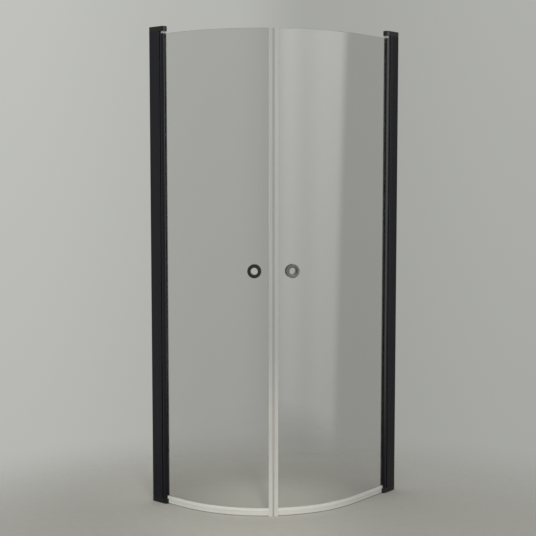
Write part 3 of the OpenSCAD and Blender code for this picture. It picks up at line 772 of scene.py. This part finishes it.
# Floor: dull pale grey with a trace of dust, which fades out all round. Inside the doors, near the
# seam, it is painted paler: a painted pool of light, to make up for the light that the glass takes
# away from the floor seen through it.
floor_radius, floor_middle, seen_radius, gone_radius = 4.0, (0.50, -0.60, 0), 0.9, 2.1
painted_pool_middle, painted_pool_core, painted_pool_reach, painted_pool_gain = (0.082, -0.136, 0), 0.08, 0.56, 0.38
arc_middle, inside_radius, outside_radius = (-0.1765, 0.1225, 0), 0.40, 0.61
dust_scale = 30.0
floor_mesh = bpy.data.meshes.new("floor")
shell = bmesh.new()
bmesh.ops.create_circle(shell, cap_ends=True, radius=floor_radius, segments=96)
shell.to_mesh(floor_mesh)
shell.free()
floor = bpy.data.objects.new("floor", floor_mesh)
bpy.context.collection.objects.link(floor)
floor_finish, tree, place = blank_material("pale_floor_with_painted_pool")
from_middle, from_painted_pool, from_arc = (
    add(tree, "ShaderNodeVectorMath", {0: place, 1: point}, operation="DISTANCE").outputs["Value"]
    for point in (floor_middle, painted_pool_middle, arc_middle))
fade = add(tree, "ShaderNodeMapRange", {
    "Value": from_middle, "From Min": seen_radius, "From Max": gone_radius},
    interpolation_type="SMOOTHSTEP")
dust = add(tree, "ShaderNodeTexNoise", {"Vector": place, "Scale": dust_scale, "Detail": 5.0})
grey = add(tree, "ShaderNodeValToRGB", {"Fac": dust},
           stops=((0, linear("#9e9d97")), (1, linear("#a5a49e"))))
# Painted light: a pool up to 38 percent paler round a point just inside the seam.
painted_pool = add(tree, "ShaderNodeMapRange", {
    "Value": from_painted_pool, "From Min": painted_pool_core, "From Max": painted_pool_reach,
    "To Min": painted_pool_gain, "To Max": 0.0}, interpolation_type="SMOOTHSTEP")
# The painted pool of light is kept inside the arc of the doors.
painted_pool_inside = add(tree, "ShaderNodeMapRange", {
    "Value": from_arc, "From Min": inside_radius, "From Max": outside_radius,
    "To Min": 1.0, "To Max": 0.0}, interpolation_type="SMOOTHSTEP")
painted_light_gain = add(tree, "ShaderNodeMath", {0: painted_pool, 1: painted_pool_inside, 2: 1.0}, operation="MULTIPLY_ADD")
shade = add(tree, "ShaderNodeVectorMath", {0: grey, 3: painted_light_gain}, operation="SCALE")
plain = add(tree, "ShaderNodeBsdfDiffuse", {"Color": shade})
gone = add(tree, "ShaderNodeBsdfTransparent", {})
both = add(tree, "ShaderNodeMixShader", {0: fade, 1: plain, 2: gone})
add(tree, "ShaderNodeOutputMaterial", {"Surface": both})
floor_mesh.materials.append(floor_finish)

# Softbox: silk on a frame 3.2 m to the right, seen only in the gloss of the object. The silk is
# brighter at the top, has soft folds, and its far edge leans.
silk_x, silk_near, silk_far, silk_foot, silk_top = 3.2, -3.4, 2.8, -2.15, 3.6
lean_from_y, lean_from_z, lean_share = -0.5, 2.3, 0.17
folds = ((0.02, 0.0), (0.975, 0.0), (0.306, 1.0), (0.46, 0.80), (0.61, 0.95), (0.78, 0.86))
fade_height, bright_height, dimmest, brightest = 2.7, 3.2, 0.44, 4.45
softbox_mesh = bpy.data.meshes.new("softbox")
softbox_mesh.from_pydata([
    (silk_x, silk_near, silk_foot), (silk_x, silk_far, silk_foot),
    (silk_x, silk_far, silk_top), (silk_x, silk_near, silk_top)], [], [(0, 3, 2, 1)])
softbox = bpy.data.objects.new("softbox", softbox_mesh)
bpy.context.collection.objects.link(softbox)
silk, tree, place = blank_material("softbox_silk")
axes = add(tree, "ShaderNodeSeparateXYZ", {"Vector": place}).outputs
beyond = add(tree, "ShaderNodeMath", {0: axes["Y"], 1: -lean_from_y}, operation="ADD")
beyond = add(tree, "ShaderNodeMath", {0: beyond, 1: 0.0}, operation="MAXIMUM")
below = add(tree, "ShaderNodeMath", {0: lean_from_z, 1: axes["Z"]}, operation="SUBTRACT")
lean = add(tree, "ShaderNodeMath", {0: below, 1: lean_share}, operation="MULTIPLY")
shift = add(tree, "ShaderNodeMath", {0: beyond, 1: lean, 2: axes["Y"]}, operation="MULTIPLY_ADD")
along = add(tree, "ShaderNodeMapRange", {
    "Value": shift, "From Min": silk_near, "From Max": silk_far})
panels = add(tree, "ShaderNodeValToRGB", {"Fac": along},
             stops=[(where, (level, level, level, 1)) for where, level in folds])
panels.color_ramp.interpolation = "EASE"
top_fade = add(tree, "ShaderNodeMapRange", {
    "Value": axes["Z"], "From Min": fade_height, "From Max": silk_top,
    "To Min": 1.0, "To Max": 0.0}, interpolation_type="SMOOTHSTEP")
cover = add(tree, "ShaderNodeMath", {0: panels, 1: top_fade}, operation="MULTIPLY")
strength = add(tree, "ShaderNodeMapRange", {
    "Value": axes["Z"], "From Min": silk_foot, "From Max": bright_height,
    "To Min": dimmest, "To Max": brightest})
lamp = add(tree, "ShaderNodeEmission", {"Color": (1.0, 1.0, 0.955, 1.0), "Strength": strength})
gone = add(tree, "ShaderNodeBsdfTransparent", {})
both = add(tree, "ShaderNodeMixShader", {0: cover, 1: gone, 2: lamp})
add(tree, "ShaderNodeOutputMaterial", {"Surface": both})
softbox_mesh.materials.append(silk)
softbox.visible_camera = softbox.visible_transmission = softbox.visible_diffuse = False


def aimed(lamp_data, stand, target):
    lamp = bpy.data.objects.new(lamp_data.name, lamp_data)
    lamp.location = stand
    lamp.rotation_mode = "QUATERNION"
    lamp.rotation_quaternion = (Vector(target) - Vector(stand)).to_track_quat("-Z", "Y")
    lamp.visible_camera = lamp.visible_transmission = lamp.visible_glossy = False
    bpy.context.collection.objects.link(lamp)


front_data = bpy.data.lights.new("front_lamp", "AREA")
front_data.energy, front_data.size = 34.0, 1.8
aimed(front_data, stand=(1.75, -3.5, 1.35), target=(0.1, -0.2, 0.8))
spot_data = bpy.data.lights.new("low_spot", "SPOT")
spot_data.energy, spot_data.color = 132.0, (1.0, 0.94, 0.82)
spot_data.spot_size, spot_data.spot_blend = math.radians(22), 0.9
spot_data.shadow_soft_size = 0.16
aimed(spot_data, stand=(2.07, -1.95, 1.6), target=(0.08, -0.29, 0.08))

# Background: what the camera, the gloss and the glass see is a soft grey, a little darker towards
# the right and towards the floor. Rays that light a dull surface, also through the glass, meet an
# even light instead. In the gloss a dark flag at the far right keeps the posts and rings deep.
to_the_right, to_the_flag = (0.766, 0.643, 0), (0.559, 0.829, 0)
tone_reach, rise_reach, flag_depth = 0.24, 0.3, 0.30
world = bpy.data.worlds.new("pale_background")
bpy.context.scene.world = world
world.use_nodes = True
tree = world.node_tree
tree.nodes.clear()
ray = add(tree, "ShaderNodeLightPath", {}).outputs
seen = add(tree, "ShaderNodeMath", {0: ray["Is Camera Ray"], 1: ray["Is Glossy Ray"]},
           operation="MAXIMUM")
seen = add(tree, "ShaderNodeMath", {0: seen, 1: ray["Is Transmission Ray"]}, operation="MAXIMUM")
direct = add(tree, "ShaderNodeMath", {0: ray["Diffuse Depth"], 1: 0.5}, operation="LESS_THAN")
seen = add(tree, "ShaderNodeMath", {0: seen, 1: direct}, operation="MULTIPLY")
light = add(tree, "ShaderNodeBackground", {"Color": (1.0, 1.0, 0.99, 1.0), "Strength": 0.88})
way = add(tree, "ShaderNodeTexCoord", {}).outputs["Generated"]
rightward, flagward = (
    add(tree, "ShaderNodeVectorMath", {0: way, 1: axis}, operation="DOT_PRODUCT").outputs["Value"]
    for axis in (to_the_right, to_the_flag))
tone = add(tree, "ShaderNodeMapRange", {
    "Value": rightward, "From Min": -tone_reach, "From Max": tone_reach})
shade = add(tree, "ShaderNodeValToRGB", {"Fac": tone},
            stops=((0, linear("#bcbdb8")), (1, linear("#abaca7")),
                   (0.42, linear("#b1b2ad")), (0.58, linear("#a2a39e"))))
shade.color_ramp.interpolation = "EASE"
axes = add(tree, "ShaderNodeSeparateXYZ", {"Vector": way}).outputs
rise = add(tree, "ShaderNodeMapRange", {
    "Value": axes["Z"], "From Min": -rise_reach, "From Max": rise_reach,
    "To Min": 0.92, "To Max": 1.10})
flag = add(tree, "ShaderNodeMapRange", {
    "Value": flagward, "From Min": 0.70, "From Max": 0.98, "To Min": 0.0, "To Max": flag_depth},
    interpolation_type="SMOOTHSTEP")
flag = add(tree, "ShaderNodeMath", {0: flag, 1: ray["Is Glossy Ray"]}, operation="MULTIPLY")
kept = add(tree, "ShaderNodeMath", {0: 1.0, 1: flag}, operation="SUBTRACT")
level = add(tree, "ShaderNodeMath", {0: rise, 1: kept}, operation="MULTIPLY")
pale = add(tree, "ShaderNodeBackground", {"Color": shade, "Strength": level})
both = add(tree, "ShaderNodeMixShader", {0: seen, 1: light, 2: pale})
add(tree, "ShaderNodeOutputWorld", {"Surface": both})
